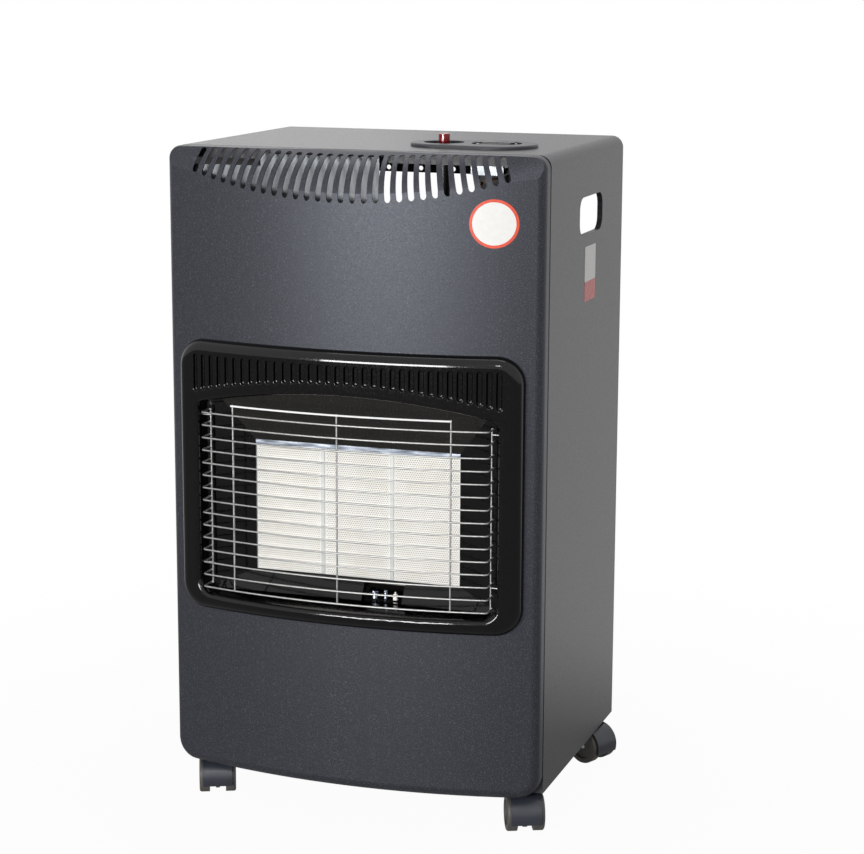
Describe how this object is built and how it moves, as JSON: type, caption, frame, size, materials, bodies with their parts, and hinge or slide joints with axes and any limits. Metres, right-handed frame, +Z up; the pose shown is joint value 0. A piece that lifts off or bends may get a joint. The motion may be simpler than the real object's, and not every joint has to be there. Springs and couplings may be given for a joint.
{
  "type": "portable gas cabinet heater",
  "caption": "Portable gas cabinet heater on swivel castors, with a bowed louvred front and a guarded ceramic burner in an enamelled surround.",
  "frame": {"origin": "on the floor under the middle of the heater's bounding box", "axes": "+X to the heater's own right as seen from the front, -Y the way the burner faces, +Z up"},
  "size_m": [0.4524, 0.3662, 0.7422],
  "materials": {
    "cabinet_paint": "dark grey semi-gloss powder coat",
    "front_paint": "dark charcoal-blue speckled powder coat",
    "black_enamel": "gloss vitreous enamel",
    "grey_enamel": "satin grey enamel",
    "nickel_wire": "bright nickel plate",
    "ceramic": "unglazed perforated cordierite, matt",
    "burner_steel": "bright stainless",
    "aluminised_steel": "aluminised sheet",
    "galvanised_steel": "galvanised, spangled",
    "valve_casting": "dark grey painted casting",
    "brass": "machined",
    "zinc_fixings": "zinc plated",
    "plate_plastic": "fine-grained moulding",
    "black_plastic": "satin moulding",
    "red_plastic": "translucent, polished",
    "aluminium_pipe": "drawn tube",
    "copper_lead": "copper",
    "lead_rubber": "silicone sleeve",
    "castor_plastic": "dark blue-grey nylon",
    "castor_tread": "grey-brown nylon tread"
  },
  "bodies": {
    "cabinet": {"cabinet_wrap": "cabinet_paint", "front_panel": "front_paint", "bezel": "black_enamel", "guard_wires": "nickel_wire", "guard_posts": "nickel_wire", "ceramic_plaque_left": "ceramic", "ceramic_plaque_centre": "ceramic", "ceramic_plaque_right": "ceramic", "plaque_frame": "burner_steel", "plaque_retainer": "burner_steel", "burner_box": "aluminised_steel", "reflector_hood": "grey_enamel", "reflector_floor": "black_enamel", "reflector_cheek_left": "black_enamel", "reflector_cheek_right": "black_enamel", "venturi_tubes": "aluminised_steel", "gas_manifold": "galvanised_steel", "injectors": "brass", "manifold_brackets": "galvanised_steel", "base_plate": "galvanised_steel", "bulkhead": "galvanised_steel", "louvre_baffle": "aluminised_steel", "rear_top_rail": "cabinet_paint", "rail_screws": "zinc_fixings", "control_plate": "plate_plastic", "piezo_body": "black_plastic", "piezo_nut": "black_plastic", "gas_valve": "valve_casting", "valve_bracket": "galvanised_steel", "valve_nut": "brass", "hose_nozzle": "brass", "main_gas_pipe": "aluminium_pipe", "pipe_nuts": "brass", "pilot_bracket": "burner_steel", "pilot_burner": "burner_steel", "thermocouple": "burner_steel", "ignition_electrode": "ceramic", "pilot_gas_pipe": "aluminium_pipe", "thermocouple_lead": "copper_lead", "ignition_lead": "lead_rubber", "castor_stems": "zinc_fixings", "castor_nuts": "zinc_fixings"},
    "rear_cover": {"rear_cover": "cabinet_paint"},
    "piezo_button": {"piezo_button": "red_plastic"},
    "spindle_carrier": {"thrust_washer": "zinc_fixings"},
    "control_knob": {"control_knob": "black_plastic", "valve_spindle": "brass"},
    "castor_front_left": {"castor_front_left_hood": "castor_plastic"},
    "castor_front_left_wheels": {"castor_front_left_axle": "zinc_fixings", "castor_front_left_wheels": "castor_tread"},
    "castor_front_right": {"castor_front_right_hood": "castor_plastic"},
    "castor_front_right_wheels": {"castor_front_right_axle": "zinc_fixings", "castor_front_right_wheels": "castor_tread"},
    "castor_rear_left": {"castor_rear_left_hood": "castor_plastic"},
    "castor_rear_left_wheels": {"castor_rear_left_axle": "zinc_fixings", "castor_rear_left_wheels": "castor_tread"},
    "castor_rear_right": {"castor_rear_right_hood": "castor_plastic"},
    "castor_rear_right_wheels": {"castor_rear_right_axle": "zinc_fixings", "castor_rear_right_wheels": "castor_tread"}
  },
  "joints": [
    {"name": "piezo_press", "type": "slide", "parent": "cabinet", "child": "piezo_button", "axis": [0, 0, -1], "range_m": [0, 0.005], "stiffness_N_per_m": 1500, "springref_m": -0.001},
    {"name": "knob_push", "type": "slide", "parent": "cabinet", "child": "spindle_carrier", "axis": [0, 0, -1], "range_m": [0, 0.004], "stiffness_N_per_m": 1500, "springref_m": -0.002},
    {"name": "knob_turn", "type": "hinge", "parent": "spindle_carrier", "child": "control_knob", "pos_m": [0.125, -0.0287, 0.7305], "axis": [0, 0, 1], "range_deg": [0, 180]},
    {"name": "rear_cover_off", "type": "slide", "parent": "cabinet", "child": "rear_cover", "axis": [0, 1, 0], "range_m": [0, 0.15]},
    {"name": "castor_front_left_swivel", "type": "hinge", "parent": "cabinet", "child": "castor_front_left", "pos_m": [-0.181, -0.0917, 0.0435], "axis": [0, 0, 1], "continuous": true},
    {"name": "castor_front_left_roll", "type": "hinge", "parent": "castor_front_left", "child": "castor_front_left_wheels", "pos_m": [-0.17449, -0.10632, 0.02], "axis": [0.9135, 0.4067, 0], "continuous": true},
    {"name": "castor_front_right_swivel", "type": "hinge", "parent": "cabinet", "child": "castor_front_right", "pos_m": [0.181, -0.0917, 0.0435], "axis": [0, 0, 1], "continuous": true},
    {"name": "castor_front_right_roll", "type": "hinge", "parent": "castor_front_right", "child": "castor_front_right_wheels", "pos_m": [0.18751, -0.10632, 0.02], "axis": [0.9135, 0.4067, 0], "continuous": true},
    {"name": "castor_rear_left_swivel", "type": "hinge", "parent": "cabinet", "child": "castor_rear_left", "pos_m": [-0.184, 0.1433, 0.0435], "axis": [0, 0, 1], "continuous": true},
    {"name": "castor_rear_left_roll", "type": "hinge", "parent": "castor_rear_left", "child": "castor_rear_left_wheels", "pos_m": [-0.19864, 0.13684, 0.02], "axis": [0.4035, -0.915, 0], "continuous": true},
    {"name": "castor_rear_right_swivel", "type": "hinge", "parent": "cabinet", "child": "castor_rear_right", "pos_m": [0.184, 0.1433, 0.0435], "axis": [0, 0, 1], "continuous": true},
    {"name": "castor_rear_right_roll", "type": "hinge", "parent": "castor_rear_right", "child": "castor_rear_right_wheels", "pos_m": [0.19864, 0.13684, 0.02], "axis": [0.4035, 0.915, 0], "continuous": true}
  ]
}
